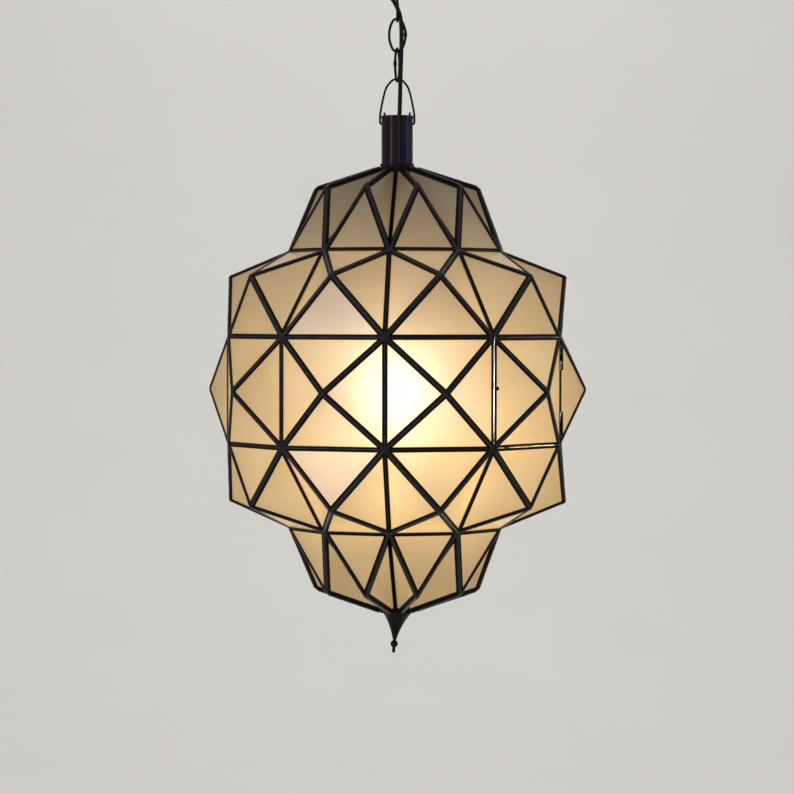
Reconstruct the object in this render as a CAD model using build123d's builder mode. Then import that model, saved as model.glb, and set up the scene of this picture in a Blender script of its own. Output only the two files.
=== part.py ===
from build123d import *

import os
from math import asin, atan2, cos, degrees, hypot, pi, radians, sin, sqrt, tan

# Ten-sided faceted glass lantern, hung by a bail from a short chain and a ceiling fitting.
# Millimetres. The origin is the middle of the ceiling face, +Z is up and the lantern hangs below.

# Glass body. Each ring is (radius, height above the body's middle), mirrored below it.
sides = 10
turn = 14.2  # degrees from the front to the first belt apex
belt_corner_radius = 200.0
belt_corner_height = belt_corner_radius * sin(pi / sides)  # makes the belt's openings square
belt_apex_rise = 20.0
belt_apex_radius = belt_corner_radius + belt_apex_rise
tier_apex_radius, tier_apex_height = 196.0, 131.0
tier_corner_radius, tier_corner_height = 128.5, 159.3
crown_apex_radius, crown_apex_height = 95.0, 235.0
crown_point_height = 265.5  # where the crown's lines would meet, inside the neck
base_point_height = 268.0  # and where the base's would, inside the finial
neck_opening_radius = 20.6  # where the crown's panes stop

# Glass and its edging, a folded channel round each pane, soldered to its neighbours
glass_thickness = 1.8
glass_play = 0.05  # each side of the glass in its channel
edging_lip = 0.55
edging_web = 0.6
edging_face = 2.9
edging_depth = glass_thickness + 2 * (glass_play + edging_lip)
solder_seam = 0.1  # each edging stops this far from the line it shares with the next

# Door: one belt pyramid, hinged at its right edge
door_step = 1  # counted from the first belt apex
door_gap = 1.1
knuckle_radius = 1.5
knuckle_length = 9.0
knuckle_gap = 0.3
hinge_pin_radius = 0.7
hinge_pin_head_radius = 1.2
hinge_pin_play = 0.06
hinge_height = 38.0  # each hinge's middle above and below the body's middle
hinge_leaf_width = 3.9
hinge_leaf_thickness = 0.7
latch_height = 5.0
latch_wire_radius = 0.55
latch_lift = 1.6  # the wire stands this far off the edging
latch_peg_radius = 0.9
latch_peg_offset = 3.0  # each peg from the edge that the latch bridges
latch_peg_play = 0.2
latch_head_radius = 1.7
latch_head_thickness = 0.8

# Neck, bail and chain
neck_radius = 18.35
neck_wall = 0.9
neck_top_height = 319.0
neck_foot_height = 249.0
neck_rim_depth = 3.6
neck_rim_step = 0.3
collar_radius = 19.9
collar_top_height = 263.0
fit_gap = 0.1  # soldered and seated pieces
pivot_drop = 9.7  # the bail's pivots, below the neck's top
bail_wire_radius = 1.25
pivot_play = 0.35
bail_hook_reach = 14.8  # hook's upright inside the neck, from the axis
bail_hook_rise = 13.7
bail_side_play = 0.2
bail_hip_rise = 11.2
bail_shoulder_half_width, bail_shoulder_rise = 16.4, 30.7
bail_cheek_half_width, bail_cheek_rise = 12.8, 43.3
bail_crown_half_width, bail_crown_rise = 6.2, 51.1
bail_crest_half_width = 1.6
bail_rise = 52.8  # the arch's top above its pivots
link_wire_radius = 1.5
link_length = 41.0
link_width = 22.0
link_end_radius = 6.5
link_play = 0.15
link_count = 3
link_twist = 15.0  # degrees that the lowest link hangs turned

# Lamp
stem_radius = 5.0
stem_bore_radius = 3.5
bridge_height = 256.0
stem_rise = 20.0  # above the bridge plate's underside
stem_engagement = 9.0  # in the lampholder's cap
bridge_thickness = 2.0
thread_play = 0.06
nut_across_flats = 14.0
nut_thickness = 4.0
bush_flange_thickness = 2.0
bush_length = 8.0
holder_radius = 19.0
holder_cap_foot_height = 86.0
holder_cap_height = 22.0
holder_boss_wall = 3.0
holder_shoulder_drop = 7.0
holder_skirt_height = 5.0
holder_dome_bulge = 2.2
holder_cap_hollow = 7.0
holder_foot_height = 42.0
holder_rim_height = 2.0
holder_rim_depth = 0.5
holder_wall = 4.4
holder_floor_height = 73.0
holder_floor_thickness = 4.0
wire_hole_offset = 8.0
wire_hole_radius = 1.6
sleeve_inner_radius = 13.6
sleeve_wall = 0.6
sleeve_foot_rise = 4.0
contact_radius = 3.5
contact_spring_gap = 0.3
bulb_globe_radius = 30.0
bulb_globe_height = -7.0
bulb_neck_radius = 12.6
bulb_neck_foot_height = 40.0
bulb_glass_top_height = 47.0
bulb_glass_wall = 0.8
bulb_cap_radius = 13.25
bulb_cap_foot_height = 43.0
bulb_cap_top_height = 66.0
bulb_contact_height = 69.5
bulb_button_radius = 4.5
bulb_button_height = 1.0

# Finial
finial_collar_foot_height = -262.0
finial_top_radius = 17.0
finial_waist_radius = 2.3
finial_waist_height = -293.5
finial_hollow = 1.7  # how far the cone's side curves in
finial_lean = 4.5  # degrees, to the left
finial_wall = 0.9
finial_spigot_height = 8.0
finial_cup_depth = 7.0
finial_neck_radius = 1.9
finial_ball_radius = 4.4
finial_ball_height = -299.2
finial_tip_radius = 1.9
finial_tip_height = -310.0

# Ceiling fitting
bracket_half_length = 54.0
bracket_width = 20.0
bracket_thickness = 2.0
bracket_drop = 8.0
bracket_step_half_length = 25.0
bracket_slope = 4.0
bracket_slot_spacing = 82.0
bracket_slot_length = 14.0
bracket_slot_width = 5.0
canopy_radius = 60.0
canopy_depth = 34.0
canopy_wall = 1.2
canopy_rim_height = 8.0
canopy_nose_radius = 30.0
canopy_bulge = 5.5
canopy_ceiling_gap = 0.5
nipple_radius = 5.0
nipple_bore_radius = 3.5
nipple_top_drop = 2.5
nipple_length = 40.0
loop_collar_radius = 8.0
loop_collar_length = 13.0
loop_collar_chamfer = 2.5
loop_weld_depth = 2.35  # the ring's wire sinks this far into its collar
loop_ring_radius = 10.0
loop_wire_radius = 2.0
grip_offset = 18.0  # the flex leaves the canopy this far left of the chain
grip_radius = 5.0
grip_flange_radius = 7.5
grip_flange_thickness = 3.5
grip_nose_length = 6.5
grip_nose_radius = 4.2
grip_stem_rise = 6.0
grip_nut_thickness = 3.5
grip_nut_across_flats = 13.5
terminal_size = (12.0, 16.0, 13.0)
terminal_screw_radius = 1.7
terminal_screw_depth = 5.0
terminal_screw_recess = 0.5
terminal_screw_spacing = 6.0
earth_screw_radius = 2.0
earth_screw_head_radius = 3.8
earth_screw_head_height = 2.4
earth_screw_length = 7.0
earth_screw_offset = 17.0

# Flex, beside the chain and down the neck. Points chosen by hand, from the ceiling down.
flex_radius = 2.5
flex_play = 0.2
flex_head = [  # heights from the ceiling
    (-18.0, 0.05, -35.5),
    (-18.1, 0.0, -50.0),
    (-12.2, 0.0, -66.0),
    (-1.6, -0.8, -81.0),
    (4.4, -4.5, -97.0),
]
flex_run = [  # heights from the top of the bail
    (5.0, -4.9, 49.9),
    (4.6, -4.8, 25.9),
    (3.7, -4.8, -0.1),
    (3.1, -4.2, -32.1),
    (2.0, -2.3, -58.1),
]
flex_straight_top = 7.0  # above the stem, where the flex's straight run begins
flex_straight_foot = 12.0  # inside the stem
flex_bail_drop = 22.1  # below the bail's top, where the flex starts to bend at the neck

# Places worked out from the sizes above
loop_top = -canopy_depth - fit_gap - loop_collar_length + loop_weld_depth
loop_middle = loop_top - loop_wire_radius - loop_ring_radius
link_reach = link_length / 2 - link_wire_radius  # link's middle to its wire's middle
link_middles = []  # from the lowest link up
hang_height = loop_middle - loop_ring_radius + loop_wire_radius + link_play + link_wire_radius
for n in range(link_count):
    link_middles.insert(0, hang_height - link_reach)
    hang_height -= 2 * link_reach - 2 * link_wire_radius - link_play
bail_apex = hang_height - link_wire_radius + bail_wire_radius
pivot_height = neck_top_height - pivot_drop
middle = bail_apex - bail_rise - pivot_height  # the middle of the glass body
step_angle = 360 / sides
nut_radius = nut_across_flats / 2 / cos(pi / 6)
holder_cap_top_height = holder_cap_foot_height + holder_cap_height
stem_top_height = bridge_height + stem_rise
stem_foot_height = holder_cap_top_height - stem_engagement

os.makedirs("parts", exist_ok=True)


def save(name, part):
    part.label = name
    export_step(part, f"parts/{name}.step")


def vertex(radius, height, step, up=1):
    """A corner of the glass body, so many steps round from the first belt apex."""
    angle = radians(turn + step * step_angle)
    return Vector(radius * sin(angle), -radius * cos(angle), middle + up * height)


def toward_point(corner, up):
    """Where the line from a corner to the crown's or the base's point crosses the opening."""
    height = crown_point_height if up > 0 else base_point_height
    point = Vector(0, 0, middle + up * height)
    return point + (corner - point) * (neck_opening_radius / hypot(corner.X, corner.Y))


def normal_of(a, b, c):
    """The unit normal of three corners that points away from the body's middle."""
    normal = (b - a).cross(c - a).normalized()
    return normal if normal.dot(a - Vector(0, 0, middle)) > 0 else normal * -1


def inset(points, distances):
    """A polygon's corners moved inwards, by a distance for each side. The points run anticlockwise."""
    moved = []
    for n in range(len(points)):
        before, here, after = points[n - 1], points[n], points[(n + 1) % len(points)]
        first, second = (here - before).normalized(), (after - here).normalized()
        in_first, in_second = Vector(-first.Y, first.X), Vector(-second.Y, second.X)
        p = here + in_first * distances[n - 1]
        q = here + in_second * distances[n]
        along = (q - p).cross(second).Z / first.cross(second).Z
        moved.append(p + first * along)
    return moved


def framed_pane(corners, beyond, extra=None):
    """One pane and its edging, in the plane of its corners.

    beyond has, for each side, the far corner of the facet it leans against, or None for a free side.
    extra has a further gap for each side.
    """
    extra = extra or [0] * len(corners)
    normal = normal_of(*corners[:3])
    if (corners[1] - corners[0]).cross(corners[2] - corners[0]).dot(normal) < 0:
        corners = corners[::-1]
        beyond = beyond[-2::-1] + beyond[-1:]
        extra = extra[-2::-1] + extra[-1:]
    plane = Plane(origin=corners[0], x_dir=corners[1] - corners[0], z_dir=normal)
    outline = [plane.to_local_coords(corner) for corner in corners]
    gaps = []
    for n, far in enumerate(beyond):
        gap = solder_seam + extra[n]
        if far is not None:
            lean = normal.get_angle(normal_of(corners[n], corners[(n + 1) % len(corners)], far))
            gap += edging_depth / 2 * tan(radians(lean) / 2)
        gaps.append(gap)

    def plate(reach, thickness, mode=Mode.ADD):
        """A flat plate whose sides stand back by reach from the edging's outside."""
        with BuildSketch(plane) as face:
            with BuildLine():
                Polyline(*inset(outline, [gap + reach for gap in gaps]), close=True)
            make_face()
        extrude(face.sketch, amount=thickness / 2, both=True, mode=mode)

    with BuildPart() as edging:
        plate(0, edging_depth)
        plate(edging_face, edging_depth, Mode.SUBTRACT)
        plate(edging_web, glass_thickness + 2 * glass_play, Mode.SUBTRACT)
    with BuildPart() as pane:
        plate(edging_web + 2 * glass_play, glass_thickness)
    return edging.part, pane.part


def belt_pyramid(step, gap=0.0):
    """The four framed panes of one belt pyramid, with a further gap round its square."""

    def corner(side, up):
        return vertex(belt_corner_radius, belt_corner_height, side, up)

    apex = vertex(belt_apex_radius, 0, step)
    left, right = step - 0.5, step + 0.5
    made = []
    for up in (1, -1):
        tier_apex = vertex(tier_apex_radius, tier_apex_height, step, up)
        made.append(
            framed_pane(
                [corner(left, up), corner(right, up), apex],
                [tier_apex, corner(right, -up), corner(left, -up)],
                [gap, 0, 0],
            )
        )
    for side, other in ((right, left), (left, right)):
        next_apex = vertex(belt_apex_radius, 0, 2 * side - step)
        made.append(
            framed_pane(
                [corner(side, 1), corner(side, -1), apex],
                [next_apex, corner(other, -1), corner(other, 1)],
                [gap, 0, 0],
            )
        )
    return made


def tier_pyramid(step, up):
    """The four framed panes of one pyramid above or below the belt."""

    def low(side):
        return vertex(belt_corner_radius, belt_corner_height, side, up)

    def high(side):
        return vertex(tier_corner_radius, tier_corner_height, side, up)

    apex = vertex(tier_apex_radius, tier_apex_height, step, up)
    left, right = step - 0.5, step + 0.5
    made = [
        framed_pane(
            [low(left), low(right), apex],
            [vertex(belt_apex_radius, 0, step), high(right), high(left)],
        ),
        framed_pane(
            [high(left), high(right), apex],
            [vertex(crown_apex_radius, crown_apex_height, step, up), low(right), low(left)],
        ),
    ]
    for side, other in ((right, left), (left, right)):
        next_apex = vertex(tier_apex_radius, tier_apex_height, 2 * side - step, up)
        made.append(
            framed_pane([low(side), high(side), apex], [next_apex, high(other), low(other)])
        )
    return made


def crown_pyramid(step, up):
    """The three framed panes of one pyramid of the crown or the base, cut off at the neck."""

    def corner(side):
        return vertex(tier_corner_radius, tier_corner_height, side, up)

    apex = vertex(crown_apex_radius, crown_apex_height, step, up)
    left, right = step - 0.5, step + 0.5
    end = toward_point(apex, up)
    tier_apex = vertex(tier_apex_radius, tier_apex_height, step, up)
    made = [framed_pane([corner(left), corner(right), apex], [tier_apex, end, end])]
    for side, other in ((right, left), (left, right)):
        next_apex = vertex(crown_apex_radius, crown_apex_height, 2 * side - step, up)
        made.append(
            framed_pane(
                [corner(side), apex, end, toward_point(corner(side), up)],
                [corner(other), corner(other), None, next_apex],
            )
        )
    return made


def save_group(name, pieces):
    """The edgings and the panes of some pyramids, each group a node of separate solids."""
    for kind, parts in zip(("edging", "panes"), zip(*pieces)):
        solids = [solid for part in parts for solid in part.solids()]
        save(f"{name}_{kind}", Compound(children=solids))


def round_the_body(pieces, steps):
    """Copies of a pyramid's framed panes, turned about the axis by each number of steps."""
    turns = [Rotation(0, 0, n * step_angle) for n in steps]
    return [(turned * edging, turned * pane) for turned in turns for edging, pane in pieces]


all_steps = range(sides)
belt_steps = [n for n in all_steps if n != door_step]
save_group("belt", round_the_body(belt_pyramid(0), belt_steps))
save_group("door", belt_pyramid(door_step, door_gap))
save_group("upper_tier", round_the_body(tier_pyramid(0, 1), all_steps))
save_group("lower_tier", round_the_body(tier_pyramid(0, -1), all_steps))
save_group("crown", round_the_body(crown_pyramid(0, 1), all_steps))
save_group("base", round_the_body(crown_pyramid(0, -1), all_steps))

# Door hinges and latch. Each works in a frame at a belt corner's upright edge: X along the belt to
# the left, Y outwards from the edge's outer surface, Z up. The facets either side rise by belt_rise.
belt_rise = atan2(
    belt_apex_radius * cos(pi / sides) - belt_corner_radius, belt_apex_radius * sin(pi / sides)
)
edge_radius = belt_corner_radius + edging_depth / 2 / cos(belt_rise)


def edge_plane(step, height=0.0, out=0.0):
    """A plane level with the ground at a belt corner, with Y outwards."""
    corner = vertex(edge_radius + out, 0, step)
    angle = radians(turn + step * step_angle)
    across = Vector(-cos(angle), -sin(angle))
    return Plane(origin=(corner.X, corner.Y, middle + height), x_dir=across, z_dir=(0, 0, 1))


hinge_out = (knuckle_radius + knuckle_gap) / cos(belt_rise)
hinge_side = door_step + 0.5
leaf_start = 0.5


def leaf_outline(side):
    """A hinge leaf's section, from under its knuckle out along the edging's face."""
    rise = tan(belt_rise)
    near, far = leaf_start, leaf_start + hinge_leaf_width
    low = [(side * x, x * rise + solder_seam - hinge_out) for x in (near, far)]
    return low + [(x, y + hinge_leaf_thickness) for x, y in low[::-1]]


def knuckles(side, heights):
    """Barrels and leaves of one side of both hinges."""
    with BuildPart() as made:
        for height in heights:
            low = height - knuckle_length / 2
            with BuildSketch(edge_plane(hinge_side, low, hinge_out)):
                Circle(knuckle_radius)
                Polygon(*leaf_outline(side), align=None)
                Circle(hinge_pin_radius + hinge_pin_play, mode=Mode.SUBTRACT)
            extrude(amount=knuckle_length)
    return made.part


knuckle_step = knuckle_length + knuckle_gap
hinge_middles = (hinge_height, -hinge_height)
save("door_hinge_knuckles", knuckles(1, hinge_middles))
jamb_heights = [m + side * knuckle_step for m in hinge_middles for side in (1, -1)]
save("jamb_hinge_knuckles", knuckles(-1, jamb_heights))

with BuildPart() as hinge_pins:
    for height in hinge_middles:
        half = knuckle_step + knuckle_length / 2
        with BuildSketch(edge_plane(hinge_side, height - half - knuckle_gap, hinge_out)):
            Circle(hinge_pin_radius)
        extrude(amount=2 * half + knuckle_gap)
        with BuildSketch(edge_plane(hinge_side, height + half + knuckle_gap / 2, hinge_out)):
            Circle(hinge_pin_head_radius)
        extrude(amount=hinge_pin_radius)
save("hinge_pins", hinge_pins.part)

latch_side = door_step - 0.5
latch_ring_radius = latch_peg_radius + latch_peg_play + latch_wire_radius
latch_reach = latch_peg_offset + latch_ring_radius + latch_wire_radius
latch_out = latch_reach * tan(belt_rise) + latch_wire_radius + latch_lift
peg_foot = latch_peg_offset * tan(belt_rise) + latch_peg_radius * tan(belt_rise) + solder_seam
peg_head = latch_out + latch_wire_radius + latch_peg_play


def latch_plane(out):
    """An upright plane facing outwards at the latch, with X towards the door and Y up."""
    level = edge_plane(latch_side, latch_height, out)
    return Plane(origin=level.origin, x_dir=level.x_dir * -1, z_dir=level.y_dir)


def latch_peg(offset, head):
    """A peg that stands out from the edging, with a flat head to keep the hook on if it turns there."""
    with BuildPart() as peg:
        with BuildSketch(latch_plane(peg_foot)):
            with Locations((offset, 0)):
                Circle(latch_peg_radius)
        extrude(amount=peg_head - peg_foot)
        if head:
            with BuildSketch(latch_plane(peg_head)):
                with Locations((offset, 0)):
                    Circle(latch_head_radius)
            extrude(amount=latch_head_thickness)
    return peg.part


save("latch_pivot_peg", latch_peg(latch_peg_offset, True))
save("latch_catch_peg", latch_peg(-latch_peg_offset, False))

with BuildPart() as latch_hook:
    with BuildSketch(latch_plane(latch_out - latch_wire_radius)):
        with Locations((latch_peg_offset, 0)):
            Circle(latch_ring_radius + latch_wire_radius)
        with Locations((-latch_peg_offset, 0)):
            Circle(latch_ring_radius + latch_wire_radius)
        with Locations((0, latch_ring_radius)):
            Rectangle(2 * latch_peg_offset, 2 * latch_wire_radius)
        with Locations((latch_peg_offset, 0), (-latch_peg_offset, 0)):
            Circle(latch_ring_radius - latch_wire_radius, mode=Mode.SUBTRACT)
        with Locations((-latch_peg_offset, 0)):
            Rectangle(
                3 * latch_ring_radius,
                2 * latch_ring_radius,
                align=(Align.CENTER, Align.MAX),
                mode=Mode.SUBTRACT,
            )
    extrude(amount=2 * latch_wire_radius)
save("latch_hook", latch_hook.part)

# Neck tube, with a rolled rim and a hole through each side for the bail's hooks
with BuildPart() as neck_tube:
    with BuildSketch(Plane.XY.offset(middle + neck_foot_height)):
        Circle(neck_radius)
    extrude(amount=neck_top_height - neck_foot_height)
    with BuildSketch(Plane.XY.offset(middle + neck_top_height - neck_rim_depth)):
        Circle(neck_radius + neck_rim_step)
    extrude(amount=neck_rim_depth)
    fillet(neck_tube.edges().group_by(Axis.Z)[-1], neck_rim_step)
    with BuildSketch(Plane.XY.offset(middle + neck_foot_height)):
        Circle(neck_radius - neck_wall)
    extrude(amount=neck_top_height - neck_foot_height, mode=Mode.SUBTRACT)
    with BuildSketch(Plane.YZ):
        with Locations((0, middle + pivot_height)):
            Circle(bail_wire_radius + pivot_play)
    extrude(amount=2 * neck_radius, both=True, mode=Mode.SUBTRACT)
save("neck_tube", neck_tube.part)


def collar(name, top, foot):
    """A ring that closes the gap between the neck, or the finial, and the panes round it."""
    with BuildPart() as band:
        with BuildSketch(Plane.XY.offset(middle + foot)):
            Circle(collar_radius)
            Circle(neck_radius + fit_gap, mode=Mode.SUBTRACT)
        extrude(amount=top - foot)
    save(name, band.part)


collar("neck_collar", collar_top_height, neck_foot_height)
collar("finial_collar", -neck_foot_height, finial_collar_foot_height)

# Bail: a wire arch, each end bent in through the neck's wall and up inside it
bail_side_radius = neck_radius + neck_rim_step + bail_wire_radius + bail_side_play
bail_side = [
    (bail_hook_reach, bail_hook_rise),
    (bail_hook_reach, 0),
    (bail_side_radius, 0),
    (bail_side_radius, bail_hip_rise),
    (bail_shoulder_half_width, bail_shoulder_rise),
    (bail_cheek_half_width, bail_cheek_rise),
    (bail_crown_half_width, bail_crown_rise),
    (bail_crest_half_width, bail_rise),
]
bail_points = bail_side + [(-x, rise) for x, rise in bail_side[::-1]]


def fillet_radii(points):
    """For each corner of a route, 0.45 of its shorter run over the tangent of half its turn."""
    radii = []
    for before, here, after in zip(points, points[1:], points[2:]):
        first, second = here - before, after - here
        half_turn = radians(first.get_angle(second)) / 2
        radii.append(0.45 * min(first.length, second.length) / tan(half_turn))
    return radii


bail_corners = [Vector(x, 0, middle + pivot_height + rise) for x, rise in bail_points]
with BuildPart() as bail:
    with BuildLine():
        FilletPolyline(*bail_corners, radius=fillet_radii(bail_corners))
    with BuildSketch(Plane.XY.offset(bail_corners[0].Z)):
        with Locations((bail_hook_reach, 0)):
            Circle(bail_wire_radius)
    sweep()
save("bail", bail.part)


def chain_link(plane):
    """An oval link of round wire, drawn from two end arcs and two side arcs that meet smoothly."""
    half_length, half_width = link_reach, link_width / 2 - link_wire_radius
    end_middle = half_length - link_end_radius
    side_radius = (half_width**2 + end_middle**2 - link_end_radius**2) / (
        2 * (half_width - link_end_radius)
    )
    swing = asin(end_middle / (side_radius - link_end_radius))
    joint = (
        half_width - side_radius + side_radius * cos(swing),
        side_radius * sin(swing),
    )
    x, y = joint
    with BuildPart() as link:
        with BuildLine(plane):
            ThreePointArc((x, -y), (half_width, 0), (x, y))
            ThreePointArc((x, y), (0, half_length), (-x, y))
            ThreePointArc((-x, y), (-half_width, 0), (-x, -y))
            ThreePointArc((-x, -y), (0, -half_length), (x, -y))
        with BuildSketch(Plane(origin=plane.origin, x_dir=plane.x_dir, z_dir=plane.y_dir)):
            with Locations((half_width, 0)):
                Circle(link_wire_radius)
        sweep()
    return link.part


for n, height in enumerate(link_middles):
    turned = radians(0 if n % 2 else 90 - (link_twist if n == 0 else 0))
    across, facing = (cos(turned), sin(turned), 0), (sin(turned), -cos(turned), 0)
    save(f"chain_link_{n + 1}", chain_link(Plane(origin=(0, 0, height), x_dir=across, z_dir=facing)))


def ring(name, foot, height, outer, inner):
    """A plain round piece with a bore, about the axis."""
    with BuildPart() as made:
        with BuildSketch(Plane.XY.offset(foot)):
            Circle(outer)
            Circle(inner, mode=Mode.SUBTRACT)
        extrude(amount=height)
    save(name, made.part)


def hex_nuts(name, feet, bore, radius=nut_radius, thickness=nut_thickness, at=(0, 0)):
    """Hexagonal nuts at some heights."""
    with BuildPart() as nuts:
        for foot in feet:
            with BuildSketch(Plane.XY.offset(foot)):
                with Locations(at):
                    RegularPolygon(radius, 6)
                    Circle(bore, mode=Mode.SUBTRACT)
            extrude(amount=thickness)
    save(name, nuts.part)


# Bridge plate in the neck's foot, and the stem that it carries
bridge = middle + bridge_height
ring(
    "bridge_plate",
    bridge,
    bridge_thickness,
    neck_radius - neck_wall - fit_gap,
    stem_radius + thread_play,
)
stem_length = stem_top_height - stem_foot_height
ring("stem", middle + stem_foot_height, stem_length, stem_radius, stem_bore_radius)
stem_nut_feet = (bridge + bridge_thickness + fit_gap, bridge - fit_gap - nut_thickness)
hex_nuts("stem_locknuts", stem_nut_feet, stem_radius + thread_play)

with BuildPart() as stem_bush:
    with BuildSketch(Plane.XY.offset(middle + stem_top_height + fit_gap)):
        Circle(stem_radius)
    extrude(amount=bush_flange_thickness)
    fillet(stem_bush.edges().group_by(Axis.Z)[-1], bush_flange_thickness / 2)
    with BuildSketch(Plane.XY.offset(middle + stem_top_height + fit_gap)):
        Circle(stem_bore_radius - fit_gap)
    extrude(amount=-bush_length)
    with BuildSketch(Plane.XY.offset(middle + stem_top_height + fit_gap - bush_length)):
        Circle(flex_radius + flex_play)
    extrude(amount=bush_length + bush_flange_thickness, mode=Mode.SUBTRACT)
save("stem_bush", stem_bush.part)

# Lampholder: cap, body, threaded sleeve and centre contact
boss_radius = stem_radius + holder_boss_wall
with BuildPart() as holder_cap:
    with BuildSketch(Plane.XZ):
        with BuildLine():
            shoulder = middle + holder_cap_top_height - holder_shoulder_drop
            foot = middle + holder_cap_foot_height + fit_gap
            skirt = foot + holder_skirt_height
            Polyline(
                (0, foot),
                (0, middle + holder_cap_top_height),
                (boss_radius, middle + holder_cap_top_height),
                (boss_radius, shoulder),
            )
            SagittaArc((boss_radius, shoulder), (holder_radius, skirt), holder_dome_bulge)
            Polyline((holder_radius, skirt), (holder_radius, foot), (0, foot))
        make_face()
    revolve(axis=Axis.Z)
    with BuildSketch(Plane.XY.offset(middle + stem_foot_height - thread_play)):
        Circle(stem_radius + thread_play)
    extrude(amount=holder_cap_height, mode=Mode.SUBTRACT)
    with BuildSketch(Plane.XY.offset(foot)):
        Circle(holder_radius - holder_wall)
    extrude(amount=holder_cap_hollow, mode=Mode.SUBTRACT)
    with BuildSketch(Plane.XY.offset(foot)):
        Circle(flex_radius + flex_play)
    extrude(amount=stem_foot_height - holder_cap_foot_height, mode=Mode.SUBTRACT)
save("lampholder_cap", holder_cap.part)

holder_bore = holder_radius - holder_wall
with BuildPart() as holder_body:
    with BuildSketch(Plane.XY.offset(middle + holder_foot_height)):
        Circle(holder_radius)
    extrude(amount=holder_cap_foot_height - holder_foot_height)
    with BuildSketch(Plane.XY.offset(middle + holder_foot_height)):
        Circle(holder_bore)
    extrude(amount=holder_floor_height - holder_foot_height, mode=Mode.SUBTRACT)
    with BuildSketch(Plane.XY.offset(middle + holder_floor_height + holder_floor_thickness)):
        Circle(holder_bore)
    extrude(amount=holder_cap_foot_height - holder_floor_height, mode=Mode.SUBTRACT)
    with BuildSketch(Plane.XY.offset(middle + holder_floor_height)):
        with Locations((wire_hole_offset, 0), (-wire_hole_offset, 0)):
            Circle(wire_hole_radius)
    extrude(amount=holder_floor_thickness, mode=Mode.SUBTRACT)
    with BuildSketch(Plane.XY.offset(middle + holder_foot_height)):
        Circle(holder_radius + 1)
        Circle(holder_radius - holder_rim_depth, mode=Mode.SUBTRACT)
    extrude(amount=holder_rim_height, mode=Mode.SUBTRACT)
save("lampholder_body", holder_body.part)

sleeve_foot = middle + holder_foot_height + sleeve_foot_rise
sleeve_height = holder_floor_height - holder_foot_height - sleeve_foot_rise - fit_gap
sleeve_outer = sleeve_inner_radius + sleeve_wall
ring("lampholder_sleeve", sleeve_foot, sleeve_height, sleeve_outer, sleeve_inner_radius)

contact_top = middle + holder_floor_height - fit_gap
contact_foot = middle + bulb_contact_height + contact_spring_gap
with BuildPart() as contact:
    with BuildSketch(Plane.XY.offset(contact_foot)):
        Circle(contact_radius)
    extrude(amount=contact_top - contact_foot)
save("lampholder_contact", contact.part)

# Bulb: a pear-shaped envelope and a screw cap
neck_foot = middle + bulb_neck_foot_height
glass_top = middle + bulb_glass_top_height
globe = Vector(0, middle + bulb_globe_height)
rise = neck_foot - globe.Y
sweep_radius = (bulb_neck_radius**2 + rise**2 - bulb_globe_radius**2) / (
    2 * (bulb_globe_radius - bulb_neck_radius)
)
hollow = Vector(bulb_neck_radius + sweep_radius, neck_foot)
toward = (hollow - globe).normalized()
blend_point = globe + toward * bulb_globe_radius
between = ((blend_point - hollow).normalized() + Vector(-1, 0)).normalized()
below = (toward + Vector(0, -1)).normalized()
with BuildPart() as bulb_glass:
    with BuildSketch(Plane.XZ):
        with BuildLine():
            Polyline((0, glass_top), (bulb_neck_radius, glass_top), (bulb_neck_radius, neck_foot))
            ThreePointArc(
                (bulb_neck_radius, neck_foot), hollow + between * sweep_radius, blend_point
            )
            ThreePointArc(
                blend_point,
                globe + below * bulb_globe_radius,
                globe - Vector(0, bulb_globe_radius),
            )
            Line(globe - Vector(0, bulb_globe_radius), (0, glass_top))
        make_face()
    revolve(axis=Axis.Z)
    offset(amount=-bulb_glass_wall, openings=bulb_glass.faces().sort_by(Axis.Z)[-1])
save("bulb_glass", bulb_glass.part)

with BuildPart() as bulb_cap:
    with BuildSketch(Plane.XZ):
        with BuildLine():
            foot = middle + bulb_cap_foot_height
            inner = bulb_neck_radius + fit_gap
            button = middle + bulb_contact_height
            Polyline(
                (inner, foot),
                (bulb_cap_radius, foot),
                (bulb_cap_radius, middle + bulb_cap_top_height),
                (bulb_button_radius + bulb_button_height, button - bulb_button_height),
                (bulb_button_radius, button),
                (0, button),
                (0, glass_top + fit_gap),
                (inner, glass_top + fit_gap),
                close=True,
            )
        make_face()
    revolve(axis=Axis.Z)
save("bulb_cap", bulb_cap.part)

# Finial: a hollow-sided cone on a spigot, and a turned ball and tip, soldered on a little out of true
cone_top = middle + finial_collar_foot_height
waist = middle + finial_waist_height
leaning = Pos(0, 0, cone_top) * Rotation(0, finial_lean, 0) * Pos(0, 0, -cone_top)
spigot = neck_radius - fit_gap
with BuildPart() as cone:
    with BuildSketch(Plane.XZ):
        with BuildLine():
            crest = cone_top + finial_top_radius * sin(radians(finial_lean)) + 0.1
            Polyline((0, waist), (0, crest), (finial_top_radius, crest), (finial_top_radius, cone_top))
            SagittaArc(
                (finial_top_radius, cone_top), (finial_waist_radius, waist), -finial_hollow
            )
            Line((finial_waist_radius, waist), (0, waist))
        make_face()
    revolve(axis=Axis.Z)
with BuildPart() as finial_cone:
    add(leaning * cone.part)
    split(bisect_by=Plane.XY.offset(cone_top), keep=Keep.BOTTOM)
    with BuildSketch(Plane.XY.offset(cone_top)):
        Circle(spigot)
    extrude(amount=finial_spigot_height)
    with BuildSketch(Plane.XY.offset(cone_top + finial_spigot_height)):
        Circle(spigot - finial_wall)
    extrude(amount=-finial_cup_depth, mode=Mode.SUBTRACT)
save("finial_cone", finial_cone.part)

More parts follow.
